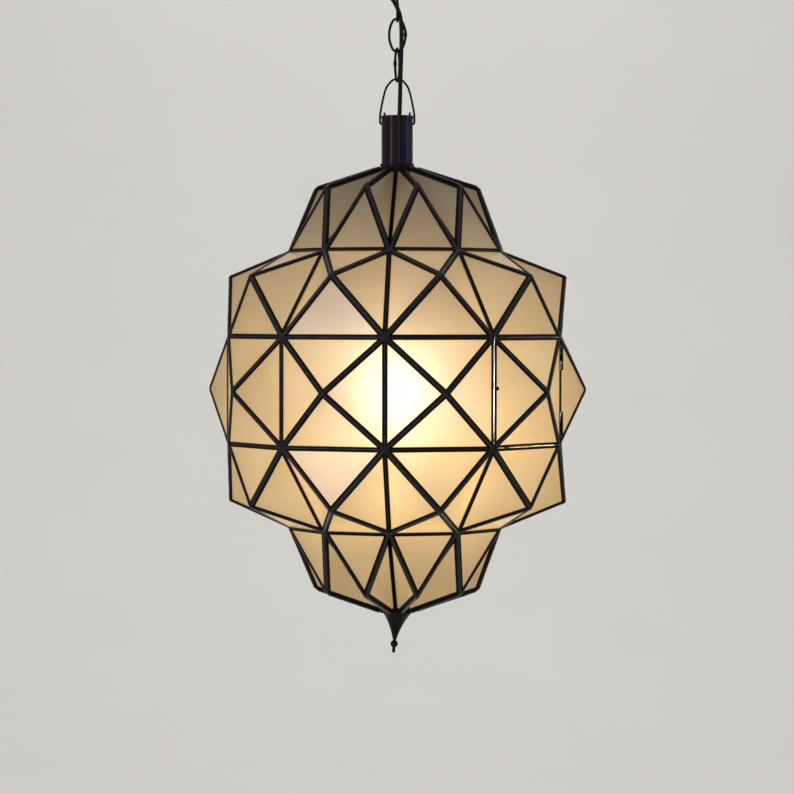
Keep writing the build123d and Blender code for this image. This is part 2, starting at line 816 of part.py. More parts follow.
ball = middle + finial_ball_height
tip = middle + finial_tip_height
with BuildPart() as finial_tip:
    with BuildSketch(Plane.XZ):
        with BuildLine():
            top = waist - fit_gap
            lift = sqrt(finial_ball_radius**2 - finial_neck_radius**2)
            drop = sqrt(finial_ball_radius**2 - finial_tip_radius**2)
            Polyline((0, top), (finial_neck_radius, top), (finial_neck_radius, ball + lift))
            ThreePointArc(
                (finial_neck_radius, ball + lift),
                (finial_ball_radius, ball),
                (finial_tip_radius, ball - drop),
            )
            Line((finial_tip_radius, ball - drop), (finial_tip_radius, tip + finial_tip_radius))
            RadiusArc(
                (finial_tip_radius, tip + finial_tip_radius), (0, tip), finial_tip_radius
            )
            Line((0, tip), (0, top))
        make_face()
    revolve(axis=Axis.Z)
save("finial_tip", leaning * finial_tip.part)

# Ceiling fitting: bracket, nipple and nuts, canopy, loop, cord grip and terminals
with BuildPart() as bracket:
    with BuildSketch(Plane.XZ):
        with BuildLine():
            inner_x, outer_x = bracket_step_half_length, bracket_step_half_length + bracket_slope
            end_x, low = bracket_half_length, -bracket_drop
            top = [(-end_x, 0), (-outer_x, 0), (-inner_x, low), (inner_x, low), (outer_x, 0), (end_x, 0)]
            Polyline(*top, *[(x, z - bracket_thickness) for x, z in top[::-1]], close=True)
        make_face()
    extrude(amount=bracket_width / 2, both=True)
    with BuildSketch():
        with GridLocations(bracket_slot_spacing, 0, 2, 1):
            SlotOverall(bracket_slot_length, bracket_slot_width)
        Circle(nipple_radius + thread_play)
        with Locations((earth_screw_offset, 0)):
            Circle(earth_screw_radius + thread_play)
    extrude(amount=-2 * bracket_drop, mode=Mode.SUBTRACT)
save("mounting_bracket", bracket.part)

plate_foot = -bracket_drop - bracket_thickness
ring(
    "threaded_nipple",
    -nipple_top_drop - nipple_length,
    nipple_length,
    nipple_radius,
    nipple_bore_radius,
)
nipple_nut_feet = (-bracket_drop + fit_gap, plate_foot - fit_gap - nut_thickness)
hex_nuts("nipple_locknuts", nipple_nut_feet, nipple_radius + thread_play)

with BuildPart() as canopy:
    with BuildSketch(Plane.XZ):
        with BuildLine():
            Polyline(
                (0, -canopy_depth),
                (0, -canopy_ceiling_gap),
                (canopy_radius, -canopy_ceiling_gap),
                (canopy_radius, -canopy_rim_height),
            )
            SagittaArc(
                (canopy_radius, -canopy_rim_height), (canopy_nose_radius, -canopy_depth), canopy_bulge
            )
            Line((canopy_nose_radius, -canopy_depth), (0, -canopy_depth))
        make_face()
    revolve(axis=Axis.Z)
    offset(amount=-canopy_wall, openings=canopy.faces().sort_by(Axis.Z)[-1])
    with BuildSketch(Plane.XY.offset(-canopy_depth)):
        Circle(nipple_radius + fit_gap)
        with Locations((-grip_offset, 0)):
            Circle(grip_radius + fit_gap)
    extrude(amount=canopy_depth / 2, mode=Mode.SUBTRACT)
save("canopy", canopy.part)

collar_top = -canopy_depth - fit_gap
with BuildPart() as ceiling_loop:
    with BuildSketch(Plane.XY.offset(collar_top)):
        Circle(loop_collar_radius)
    extrude(amount=-loop_collar_length)
    chamfer(ceiling_loop.edges().group_by(Axis.Z)[0], loop_collar_chamfer)
    with BuildSketch(Plane.XY.offset(loop_middle)):
        with Locations((loop_ring_radius, 0)):
            Circle(loop_wire_radius)
    revolve(axis=Axis((0, 0, loop_middle), (0, 1, 0)))
    with BuildSketch(Plane.XY.offset(collar_top)):
        Circle(nipple_radius + thread_play)
    extrude(amount=-(nipple_top_drop + nipple_length - canopy_depth), mode=Mode.SUBTRACT)
save("ceiling_loop", ceiling_loop.part)

with BuildPart() as cord_grip:
    with BuildSketch(Plane.XZ):
        with BuildLine():
            face = -canopy_depth - fit_gap
            inside = grip_offset - flex_radius - flex_play
            nose = face - grip_flange_thickness - grip_nose_length
            Polyline(
                (-inside, face + grip_stem_rise),
                (-grip_offset + grip_radius, face + grip_stem_rise),
                (-grip_offset + grip_radius, face),
                (-grip_offset + grip_flange_radius, face),
                (-grip_offset + grip_flange_radius, face - grip_flange_thickness),
                (-grip_offset + grip_nose_radius, nose),
                (-inside, nose),
                close=True,
            )
        make_face()
    revolve(axis=Axis((-grip_offset, 0, 0), (0, 0, 1)))
save("cord_grip", cord_grip.part)
grip_nut_foot = -canopy_depth + canopy_wall + fit_gap
hex_nuts(
    "cord_grip_nut",
    [grip_nut_foot],
    grip_radius + thread_play,
    grip_nut_across_flats / 2 / cos(pi / 6),
    grip_nut_thickness,
    (-grip_offset, 0),
)

block_x, block_y, block_z = terminal_size
block_top = plate_foot - fit_gap
with BuildPart() as terminal_block:
    with Locations((-grip_offset, 0, block_top - block_z / 2)):
        Box(block_x, block_y, block_z)
    chamfer(terminal_block.edges().filter_by(Axis.Z), 1)
    with BuildSketch(Plane.XZ.offset(block_y / 2)):
        with Locations((-grip_offset, block_top - block_z / 2)):
            with GridLocations(terminal_screw_spacing, 0, 2, 1):
                Circle(terminal_screw_radius + thread_play)
    extrude(amount=-terminal_screw_depth, mode=Mode.SUBTRACT)
save("terminal_block", terminal_block.part)

with BuildPart() as terminal_screws:
    with BuildSketch(Plane.XZ.offset(block_y / 2 - terminal_screw_recess)):
        with Locations((-grip_offset, block_top - block_z / 2)):
            with GridLocations(terminal_screw_spacing, 0, 2, 1):
                Circle(terminal_screw_radius)
    extrude(amount=2 * terminal_screw_recess - terminal_screw_depth)
save("terminal_screws", terminal_screws.part)

with BuildPart() as earth_screw:
    with BuildSketch(Plane.XY.offset(plate_foot - fit_gap)):
        with Locations((earth_screw_offset, 0)):
            Circle(earth_screw_head_radius)
    extrude(amount=-earth_screw_head_height)
    fillet(earth_screw.edges().group_by(Axis.Z)[0], 1)
    with BuildSketch(Plane.XY.offset(plate_foot - fit_gap)):
        with Locations((earth_screw_offset, 0)):
            Circle(earth_screw_radius)
    extrude(amount=earth_screw_length)
save("earth_screw", earth_screw.part)

# Flex: straight runs joined by arcs, cut where it bends from one link to the next
flex_end = middle + stem_top_height - flex_straight_foot
route = [Vector(-grip_offset, 0, block_top - block_z)]
route += [Vector(x, y, z) for x, y, z in flex_head]
route += [Vector(x, y, bail_apex + z) for x, y, z in flex_run]
route += [Vector(0, 0, middle + stem_top_height + flex_straight_top), Vector(0, 0, flex_end)]
flex_radii = fillet_radii(route)
print("flex radii", [round(r) for r in flex_radii])
with BuildPart() as flex:
    with BuildLine() as flex_line:
        FilletPolyline(*route, radius=flex_radii)
    with BuildSketch(Plane.XY.offset(route[0].Z)):
        with Locations((route[0].X, route[0].Y)):
            Circle(flex_radius)
    sweep()
flex_length = sum(edge.length for edge in flex_line.edges())
print("flex volume", round(flex.part.volume), "of", round(pi * flex_radius**2 * flex_length))
levels = [0.0, *link_middles[::-1], bail_apex - flex_bail_drop, flex_end - 1]
for name, high, low in zip(("top", "upper", "middle", "lower", "neck"), levels, levels[1:]):
    slab = Pos(0, 0, (high + low) / 2) * Box(100, 100, high - low)
    save(f"flex_{name}", flex.part & slab)

with BuildPart() as flex_stem:
    with BuildSketch(Plane.XY.offset(flex_end - fit_gap)):
        Circle(flex_radius)
    extrude(amount=middle + stem_foot_height - flex_end + fit_gap)
save("flex_stem", flex_stem.part)
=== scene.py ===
# Faceted glass pendant lantern, hung by a bail from a short chain. Looks only: every solid comes from the
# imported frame, in metres, with the middle of the ceiling face at the origin and +Z up.
from math import cos, hypot, pi, radians, sin, tan

import bmesh
import bpy
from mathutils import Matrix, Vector


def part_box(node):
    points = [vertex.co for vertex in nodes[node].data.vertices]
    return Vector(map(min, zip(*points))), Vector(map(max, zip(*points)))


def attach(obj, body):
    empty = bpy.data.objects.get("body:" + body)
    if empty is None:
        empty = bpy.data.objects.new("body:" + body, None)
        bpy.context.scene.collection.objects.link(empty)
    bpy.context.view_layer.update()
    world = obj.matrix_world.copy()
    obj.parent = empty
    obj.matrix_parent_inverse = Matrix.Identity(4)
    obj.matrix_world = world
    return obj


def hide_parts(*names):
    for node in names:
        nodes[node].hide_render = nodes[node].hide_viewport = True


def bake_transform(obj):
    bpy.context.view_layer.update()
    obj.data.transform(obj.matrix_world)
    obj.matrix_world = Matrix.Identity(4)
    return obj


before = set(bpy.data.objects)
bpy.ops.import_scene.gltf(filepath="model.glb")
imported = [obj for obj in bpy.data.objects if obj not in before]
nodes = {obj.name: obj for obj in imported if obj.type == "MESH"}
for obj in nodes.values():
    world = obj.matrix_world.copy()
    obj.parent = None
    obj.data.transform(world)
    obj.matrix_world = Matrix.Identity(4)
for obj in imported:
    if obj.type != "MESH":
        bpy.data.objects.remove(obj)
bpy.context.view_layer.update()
scene = bpy.context.scene

# camera: 3.3 m in front of the lantern and a little above its middle
view = {"place": (0.0, -3.315, -0.445), "dip": 1.63, "roll": -0.06, "lens": 128.4, "sensor": 36.0}
camera = bpy.data.objects.new("camera", bpy.data.cameras.new("camera"))
camera.data.lens = view["lens"]
camera.data.sensor_width = view["sensor"]
camera.data.clip_end = 60
camera.location = view["place"]
camera.rotation_euler = (radians(90 - view["dip"]), radians(view["roll"]), 0)
scene.collection.objects.link(camera)
scene.camera = camera
scene.view_settings.view_transform = "Standard"
print("camera placed")


def colour(hexCode, alpha=1.0):
    parts = [int(hexCode[n:n + 2], 16) / 255 for n in (1, 3, 5)]
    return [p / 12.92 if p <= 0.04045 else ((p + 0.055) / 1.055) ** 2.4 for p in parts] + [alpha]


def addNode(tree, kind, inputs=None, stops=(), **settings):
    node = tree.nodes.new(kind)
    for name, value in settings.items():
        setattr(node, name, value)
    for n, (at, tint) in enumerate(stops):
        stop = node.color_ramp.elements[n] if n < 2 else node.color_ramp.elements.new(at)
        stop.position = at
        stop.color = colour(tint) if isinstance(tint, str) else (tint, tint, tint, 1)
    for socket, value in (inputs or {}).items():
        if isinstance(value, bpy.types.NodeSocket):
            tree.links.new(value, node.inputs[socket])
        else:
            node.inputs[socket].default_value = value
    return node


def newTree(name):
    material = bpy.data.materials.new(name)
    material.use_nodes = True
    material.node_tree.nodes.clear()
    return material, material.node_tree


def finished(material, look):
    tree = material.node_tree
    shader = addNode(tree, "ShaderNodeBsdfPrincipled", look)
    addNode(tree, "ShaderNodeOutputMaterial", {"Surface": shader.outputs[0]})
    return material


# Milky opal sheet glass, hand-drawn: slightly rippled, gloss outside. Its glowing is painted light, an
# emission of the glass itself. It is set by height, with painted shade making it weaker at the crown, and it
# has a painted hot spot, brightest close to a point set forward of the bulb, towards the camera.
opal = {
    "body": "#696056", "bodyPale": "#736a60", "paintedGlow": "#ffd790", "paintedGlowDeep": "#fbce86",
    # the point, gain and reach on the next line set a painted hot spot, a pool of painted light ahead of the
    # bulb
    "through": 0.66, "blur": 0.6, "coat": 0.42, "paintedHotSpotAt": (0.01, -0.06, -0.549), "near": 0.8, "reach": 0.2,
    "foot": -0.8, "top": -0.26,  # the glow's strength between these heights:
    # painted shade by height: the painted light is weakest at the crown, as if the lampholder shaded it
    "fade": [
        (0.0, 0.235), (0.082, 0.225), (0.157, 0.225), (0.222, 0.250), (0.283, 0.262), (0.389, 0.238),
        (0.5, 0.215), (0.611, 0.208), (0.717, 0.190), (0.778, 0.155), (0.843, 0.110), (0.919, 0.064),
        (1.0, 0.034),
    ],
    "ripples": 9.0, "mottles": 14.0,  # per metre: ripples 110 mm and clouds 70 mm across
    "rippleStrength": 0.12, "rippleHeight": 0.004, "coatBlur": 0.05, "falloff": 3.0,
}


def opalGlass():
    material, tree = newTree("milkyOpalSheetGlass")
    here = addNode(tree, "ShaderNodeTexCoord").outputs["Object"]
    mottle = addNode(
        tree, "ShaderNodeTexNoise", {"Vector": here, "Scale": opal["mottles"], "Detail": 3.0}
    ).outputs[0]
    body = addNode(
        tree, "ShaderNodeValToRGB", {"Fac": mottle}, stops=[(0.35, opal["body"]), (0.65, opal["bodyPale"])]
    ).outputs[0]
    paintedGlow = addNode(
        tree, "ShaderNodeValToRGB", {"Fac": mottle}, stops=[(0.3, opal["paintedGlowDeep"]), (0.7, opal["paintedGlow"])]
    ).outputs[0]
    # painted hot spot: brighter where the glass is close to the set point and faces it
    toPaintedHotSpot = addNode(
        tree, "ShaderNodeVectorMath", {0: opal["paintedHotSpotAt"], 1: here}, operation="SUBTRACT"
    ).outputs[0]
    away = addNode(tree, "ShaderNodeVectorMath", {0: toPaintedHotSpot}, operation="LENGTH").outputs["Value"]
    ray = addNode(tree, "ShaderNodeVectorMath", {0: toPaintedHotSpot}, operation="NORMALIZE").outputs[0]
    flat = addNode(tree, "ShaderNodeNewGeometry").outputs["True Normal"]
    facing = addNode(
        tree, "ShaderNodeVectorMath", {0: ray, 1: flat}, operation="DOT_PRODUCT"
    ).outputs["Value"]
    square = addNode(tree, "ShaderNodeMath", {0: facing}, operation="ABSOLUTE").outputs[0]
    closeness = addNode(tree, "ShaderNodeMath", {0: opal["reach"], 1: away}, operation="DIVIDE").outputs[0]
    closer = addNode(tree, "ShaderNodeMath", {0: closeness, 1: opal["falloff"]}, operation="POWER").outputs[0]
    paintedDirectLight = addNode(tree, "ShaderNodeMath", {0: square, 1: closer}, operation="MULTIPLY").outputs[0]
    lit = addNode(
        tree, "ShaderNodeMath", {0: paintedDirectLight, 1: opal["near"], 2: 1.0}, operation="MULTIPLY_ADD"
    ).outputs[0]
    height = addNode(tree, "ShaderNodeSeparateXYZ", {0: here}).outputs["Z"]
    level = addNode(
        tree, "ShaderNodeMapRange", {"Value": height, "From Min": opal["foot"], "From Max": opal["top"]}
    ).outputs[0]
    # painted shade: the painted light fades towards the crown
    fade = addNode(tree, "ShaderNodeValToRGB", {"Fac": level}, stops=opal["fade"]).outputs[0]
    strength = addNode(tree, "ShaderNodeMath", {0: lit, 1: fade}, operation="MULTIPLY").outputs[0]
    ripple = addNode(
        tree, "ShaderNodeTexNoise", {"Vector": here, "Scale": opal["ripples"], "Detail": 2.0}
    ).outputs[0]
    bump = addNode(
        tree, "ShaderNodeBump",
        {"Height": ripple, "Strength": opal["rippleStrength"], "Distance": opal["rippleHeight"]},
    ).outputs[0]
    # the emission is painted light, not light from the bulb
    return finished(material, {
        "Base Color": body, "Roughness": opal["blur"], "IOR": 1.5, "Transmission Weight": opal["through"],
        "Coat Weight": opal["coat"], "Coat Roughness": opal["coatBlur"],
        "Emission Color": paintedGlow, "Emission Strength": strength,
        "Normal": bump, "Coat Normal": bump,
    })


# Folded metal edging with a chemical black patina: brown where it is rubbed, nearly matt.
patina = {
    "black": "#050303", "brown": "#1f0b07", "clouds": 60.0, "grit": 700.0, "smooth": 0.46, "rough": 0.68,
    "shine": 0.09, "gritStrength": 0.25, "gritHeight": 0.0004,
}


def patinaEdging():
    material, tree = newTree("blackPatinaEdging")
    here = addNode(tree, "ShaderNodeTexCoord").outputs["Object"]
    clouds = addNode(
        tree, "ShaderNodeTexNoise",
        {"Vector": here, "Scale": patina["clouds"], "Detail": 6.0, "Roughness": 0.6},
    ).outputs[0]
    tint = addNode(
        tree, "ShaderNodeValToRGB", {"Fac": clouds}, stops=[(0.45, patina["black"]), (0.72, patina["brown"])]
    ).outputs[0]
    wear = addNode(
        tree, "ShaderNodeMapRange",
        {"Value": clouds, "From Min": 0.3, "From Max": 0.7, "To Min": patina["smooth"],
         "To Max": patina["rough"]},
    ).outputs[0]
    grit = addNode(
        tree, "ShaderNodeTexNoise", {"Vector": here, "Scale": patina["grit"], "Detail": 3.0}
    ).outputs[0]
    bump = addNode(
        tree, "ShaderNodeBump",
        {"Height": grit, "Strength": patina["gritStrength"], "Distance": patina["gritHeight"]},
    ).outputs[0]
    return finished(material, {
        "Base Color": tint, "Roughness": wear, "Normal": bump, "Specular IOR Level": patina["shine"],
    })


# Blackened steel wire and spun sheet: near black under a glossy lacquer, a hint of blue and of rust red.
blackened = {
    "black": "#040405", "blue": "#070b18", "red": "#120504", "clouds": 30.0, "grit": 500.0, "smooth": 0.16,
    "rough": 0.36, "shine": 0.12,
}


def blackenedSteel():
    material, tree = newTree("blackenedLacqueredSteel")
    here = addNode(tree, "ShaderNodeTexCoord").outputs["Object"]
    clouds = addNode(
        tree, "ShaderNodeTexNoise", {"Vector": here, "Scale": blackened["clouds"], "Detail": 5.0}
    ).outputs[0]
    tint = addNode(
        tree, "ShaderNodeValToRGB", {"Fac": clouds},
        stops=[(0.35, blackened["blue"]), (0.5, blackened["black"]), (0.68, blackened["red"])],
    ).outputs[0]
    wear = addNode(
        tree, "ShaderNodeMapRange",
        {"Value": clouds, "From Min": 0.3, "From Max": 0.7, "To Min": blackened["smooth"],
         "To Max": blackened["rough"]},
    ).outputs[0]
    grit = addNode(
        tree, "ShaderNodeTexNoise", {"Vector": here, "Scale": blackened["grit"], "Detail": 3.0}
    ).outputs[0]
    bump = addNode(tree, "ShaderNodeBump", {"Height": grit, "Strength": 0.15, "Distance": 0.0004}).outputs[0]
    return finished(material, {
        "Base Color": tint, "Roughness": wear, "Normal": bump, "Specular IOR Level": blackened["shine"],
    })


# Neck: rolled steel sheet, flame-blued before it was lacquered, so its colour runs in upright stripes round
# it:
# brown-red, black and navy. The three thin pale stripes between them are painted highlights, fixed on its
# front.
blued = {
    "tintAndHighlightStops": [
        # stops at 0.434, 0.514 and 0.617 are painted highlights; the others are the heat tint
        (0.0, "#040405"), (0.10, "#0b0f20"), (0.22, "#050506"), (0.30, "#1b0a07"), (0.36, "#060506"),
        (0.425, "#060505"), (0.434, "#3a3338"), (0.443, "#0c0605"), (0.455, "#1a0906"), (0.495, "#180806"),
        (0.507, "#0a0606"), (0.514, "#332d33"), (0.522, "#070708"), (0.565, "#060a16"), (0.60, "#0a1530"),
        (0.617, "#2c3a58"), (0.628, "#0c1836"), (0.66, "#070b16"), (0.72, "#040405"), (0.82, "#160806"),
        (0.90, "#060607"), (1.0, "#040405"),
    ],
    "wander": 0.05, "marks": 300.0, "smooth": 0.14, "rough": 0.32, "shine": 0.14,
}


def bluedSheet():
    material, tree = newTree("flameBluedSteelSheet")
    here = addNode(tree, "ShaderNodeTexCoord").outputs["Object"]
    across = addNode(tree, "ShaderNodeSeparateXYZ", {0: here}).outputs
    back = addNode(tree, "ShaderNodeMath", {0: across["Y"], 1: -1.0}, operation="MULTIPLY").outputs[0]
    angle = addNode(tree, "ShaderNodeMath", {0: across["X"], 1: back}, operation="ARCTAN2").outputs[0]
    uneven = addNode(tree, "ShaderNodeTexNoise", {"Vector": here, "Scale": 60.0, "Detail": 3.0}).outputs[0]
    wander = addNode(
        tree, "ShaderNodeMath", {0: uneven, 1: blued["wander"], 2: -blued["wander"] / 2},
        operation="MULTIPLY_ADD",
    ).outputs[0]
    bent = addNode(tree, "ShaderNodeMath", {0: angle, 1: wander}, operation="ADD").outputs[0]
    turned = addNode(
        tree, "ShaderNodeMapRange", {"Value": bent, "From Min": -pi, "From Max": pi}
    ).outputs[0]
    # tint: the heat tint, with three thin pale stripes of painted highlight
    tint = addNode(tree, "ShaderNodeValToRGB", {"Fac": turned}, stops=blued["tintAndHighlightStops"]).outputs[0]
    stretched = addNode(tree, "ShaderNodeMapping", {"Vector": here, "Scale": (1, 1, 0.1)}).outputs[0]
    marks = addNode(
        tree, "ShaderNodeTexNoise", {"Vector": stretched, "Scale": blued["marks"], "Detail": 3.0}
    ).outputs[0]
    wear = addNode(
        tree, "ShaderNodeMapRange",
        {"Value": marks, "From Min": 0.3, "From Max": 0.7, "To Min": blued["smooth"],
         "To Max": blued["rough"]},
    ).outputs[0]
    bump = addNode(tree, "ShaderNodeBump", {"Height": marks, "Strength": 0.2, "Distance": 0.0004}).outputs[0]
    return finished(material, {
        "Base Color": tint, "Roughness": wear, "Normal": bump, "Specular IOR Level": blued["shine"],
    })


# Soft solder darkened with the same patina: rounder, a little greyer and glossier than the edging.
solderLook = {
    "dark": "#050303", "grey": "#0e0a0b", "clouds": 90.0, "smooth": 0.12, "rough": 0.28, "shine": 0.3,
}


def darkSolder():
    material, tree = newTree("patinatedSolder")
    here = addNode(tree, "ShaderNodeTexCoord").outputs["Object"]
    clouds = addNode(
        tree, "ShaderNodeTexNoise", {"Vector": here, "Scale": solderLook["clouds"], "Detail": 4.0}
    ).outputs[0]
    tint = addNode(
        tree, "ShaderNodeValToRGB", {"Fac": clouds},
        stops=[(0.5, solderLook["dark"]), (0.8, solderLook["grey"])],
    ).outputs[0]
    wear = addNode(
        tree, "ShaderNodeMapRange",
        {"Value": clouds, "From Min": 0.3, "From Max": 0.7, "To Min": solderLook["smooth"],
         "To Max": solderLook["rough"]},
    ).outputs[0]
    return finished(material, {
        "Base Color": tint, "Roughness": wear, "Specular IOR Level": solderLook["shine"],
    })


# Plain metals: turned brass, zinc-plated steel and the bulb cap's drawn aluminium, each with its fine marks.
def plainMetal(name, light, dark, rough, marksScale, stretch, pitch=0.0):
    material, tree = newTree(name)
    here = addNode(tree, "ShaderNodeTexCoord").outputs["Object"]
    stretched = addNode(tree, "ShaderNodeMapping", {"Vector": here, "Scale": stretch}).outputs[0]
    marks = addNode(
        tree, "ShaderNodeTexNoise", {"Vector": stretched, "Scale": marksScale, "Detail": 4.0}
    ).outputs[0]
    tint = addNode(tree, "ShaderNodeValToRGB", {"Fac": marks}, stops=[(0.35, dark), (0.65, light)]).outputs[0]
    wear = addNode(
        tree, "ShaderNodeMapRange",
        {"Value": marks, "From Min": 0.3, "From Max": 0.7, "To Min": rough * 0.8, "To Max": rough * 1.3},
    ).outputs[0]
    height = marks
    if pitch:  # a screw thread, in metres from crest to crest
        height = addNode(
            tree, "ShaderNodeTexWave", {"Vector": here, "Scale": 0.31416 / pitch}, bands_direction="Z"
        ).outputs["Fac"]
    bump = addNode(
        tree, "ShaderNodeBump", {"Height": height, "Strength": 0.8 if pitch else 0.15, "Distance": 0.0006}
    ).outputs[0]
    return finished(material, {"Base Color": tint, "Roughness": wear, "Metallic": 1.0, "Normal": bump})


# Moulded plastics and rubber: one tint, a fine moulded grain, a little unevenness in the gloss.
def moulded(name, light, dark, rough, grainSize, grainDepth, shine=0.5):
    material, tree = newTree(name)
    here = addNode(tree, "ShaderNodeTexCoord").outputs["Object"]
    clouds = addNode(tree, "ShaderNodeTexNoise", {"Vector": here, "Scale": 40.0, "Detail": 4.0}).outputs[0]
    tint = addNode(tree, "ShaderNodeValToRGB", {"Fac": clouds}, stops=[(0.3, dark), (0.7, light)]).outputs[0]
    wear = addNode(
        tree, "ShaderNodeMapRange",
        {"Value": clouds, "From Min": 0.3, "From Max": 0.7, "To Min": rough * 0.8, "To Max": rough * 1.25},
    ).outputs[0]
    grain = addNode(
        tree, "ShaderNodeTexNoise", {"Vector": here, "Scale": grainSize, "Detail": 2.0}
    ).outputs[0]
    bump = addNode(
        tree, "ShaderNodeBump", {"Height": grain, "Strength": grainDepth, "Distance": 0.0005}
    ).outputs[0]
    return finished(material, {
        "Base Color": tint, "Roughness": wear, "Normal": bump, "Specular IOR Level": shine,
    })


# Bulb: frosted glass, evenly bright because the frosting spreads the light. Its neck, beside the lampholder,
# is dimmer.
bulbLook = {"glass": "#fff3d6", "light": "#ffffff", "strength": 500.0}


def frostedBulb():
    material, tree = newTree("frostedBulbGlass")
    here = addNode(tree, "ShaderNodeTexCoord").outputs["Object"]
    frost = addNode(tree, "ShaderNodeTexNoise", {"Vector": here, "Scale": 900.0, "Detail": 2.0}).outputs[0]
    bump = addNode(tree, "ShaderNodeBump", {"Height": frost, "Strength": 0.1, "Distance": 0.0002}).outputs[0]
    height = addNode(tree, "ShaderNodeSeparateXYZ", {0: here}).outputs["Z"]
    fade = addNode(
        tree, "ShaderNodeMapRange",
        {"Value": height, "From Min": -0.49, "From Max": -0.515, "To Min": 0.15, "To Max": 1.0},
    ).outputs[0]
    strength = addNode(
        tree, "ShaderNodeMath", {0: fade, 1: bulbLook["strength"]}, operation="MULTIPLY"
    ).outputs[0]
    return finished(material, {
        "Base Color": colour(bulbLook["glass"]), "Roughness": 0.35,
        "Emission Color": colour(bulbLook["light"]), "Emission Strength": strength, "Normal": bump,
    })


finishes = {
    "opal": opalGlass(),
    "edging": patinaEdging(),
    "steel": blackenedSteel(),
    "blued": bluedSheet(),
    "solder": darkSolder(),
    "brass": plainMetal("turnedBrass", "#c9a55a", "#a07c3c", 0.28, 300.0, (1, 1, 4)),
    "thread": plainMetal("threadedBrass", "#c9a55a", "#8e6d33", 0.3, 300.0, (1, 1, 1), 0.001),
    "zinc": plainMetal("zincPlatedSteel", "#b9bdc0", "#8f9499", 0.35, 120.0, (1, 1, 1)),
    "cap": plainMetal("bulbCapAluminium", "#d5d6d6", "#a5a7a9", 0.3, 200.0, (1, 1, 1), 0.0036),
    "bakelite": moulded("blackBakelite", "#17120f", "#0c0a09", 0.3, 800.0, 0.05),
    "nylon": moulded("whiteNylon", "#e9e6dd", "#dcd8cc", 0.5, 600.0, 0.15),
    "cable": moulded("blackCableSheath", "#0c0c0d", "#060607", 0.42, 900.0, 0.2, 0.15),
    "bulb": frostedBulb(),
}
wearing = {
    "opal": ["belt_panes", "door_panes", "upper_tier_panes", "lower_tier_panes", "crown_panes", "base_panes"],
    "edging": [
        "belt_edging", "door_edging", "upper_tier_edging", "lower_tier_edging", "crown_edging", "base_edging"
    ],
    "steel": [
        "canopy", "ceiling_loop", "chain_link_1", "chain_link_2", "chain_link_3", "bail", "neck_collar",
        "finial_collar", "finial_cone", "finial_tip", "door_hinge_knuckles", "jamb_hinge_knuckles",
        "hinge_pins", "latch_pivot_peg", "latch_catch_peg", "latch_hook",
    ],
    "blued": ["neck_tube"],
    "brass": ["nipple_locknuts", "stem_locknuts", "lampholder_contact", "earth_screw"],
    "thread": ["threaded_nipple", "stem", "lampholder_sleeve"],
    "zinc": ["mounting_bracket", "bridge_plate", "terminal_screws"],
    "cap": ["bulb_cap"],
    "bakelite": ["lampholder_cap", "lampholder_body", "stem_bush", "cord_grip", "cord_grip_nut"],
    "nylon": ["terminal_block"],
    "cable": ["flex_top", "flex_upper", "flex_middle", "flex_lower", "flex_neck", "flex_stem"],
    "bulb": ["bulb_glass"],
}
for finish, names in wearing.items():
    for name in names:
        for slot in nodes[name].material_slots:
            slot.material = finishes[finish]
print("materials made")


def newPiece(name, mesh, finish):
    piece = bpy.data.objects.new(name, mesh)
    scene.collection.objects.link(piece)
    mesh.materials.clear()
    mesh.materials.append(finishes[finish])
    return piece


# Flex: 5 mm black cable beside the chain, over the links and down into the neck
flex = {
    "radius": 0.0025,
    "sides": 16,
    "route": [
        (-0.018, 0.0, -0.0231), (-0.018, 0.00005, -0.0355), (-0.0181, 0.0, -0.05), (-0.0122, 0.0, -0.066),
        (-0.0016, -0.0008, -0.081), (0.0044, -0.0045, -0.097), (0.005, -0.0049, -0.118),
        (0.0046, -0.0048, -0.142), (0.0037, -0.0048, -0.168), (0.0031, -0.0042, -0.2),
        (0.002, -0.0023, -0.226), (0.0, 0.0, -0.247), (0.0, 0.0, -0.266),
    ],
    "cuts": [("top", 0.0, "ceiling", "link_3"), ("upper", -0.0821, "link_3", "link_2"),
             ("middle", -0.11695, "link_2", "link_1"), ("lower", -0.1518, "link_1", "bail"),
             ("neck", -0.19, "bail", "lantern")],
}


def smoothLine(name, points):
    curve = bpy.data.curves.new(name, "CURVE")
    curve.dimensions = "3D"
    spline = curve.splines.new("NURBS")
    spline.points.add(len(points) - 1)
    for point, at in zip(spline.points, points):
        point.co = (*at, 1)
    spline.order_u = 3
    spline.use_endpoint_u = True
    spline.resolution_u = 12
    line = bpy.data.objects.new(name, curve)
    scene.collection.objects.link(line)
    bpy.context.view_layer.update()
    mesh = bpy.data.meshes.new_from_object(line)
    found = [v.co.copy() for v in mesh.vertices]
    bpy.data.objects.remove(line)
    return found


def roundTube(name, path, radii, sides, finish):
    made = bmesh.new()
    side = Vector((0, 1, 0))
    rings = []
    for n, at in enumerate(path):
        ahead = (path[min(n + 1, len(path) - 1)] - path[max(n - 1, 0)]).normalized()
        side = (side - ahead * side.dot(ahead)).normalized()
        other = ahead.cross(side)
        rings.append([
            made.verts.new(at + (side * cos(a) + other * sin(a)) * radii[n])
            for a in (2 * pi * s / sides for s in range(sides))
        ])
    for low, high in zip(rings, rings[1:]):
        for s in range(sides):
            t = (s + 1) % sides
            made.faces.new((low[s], low[t], high[t], high[s])).smooth = True
    made.faces.new(rings[0][::-1])
    made.faces.new(rings[-1])
    bmesh.ops.recalc_face_normals(made, faces=made.faces)
    mesh = bpy.data.meshes.new(name)
    made.to_mesh(mesh)
    made.free()
    return newPiece(name, mesh, finish)


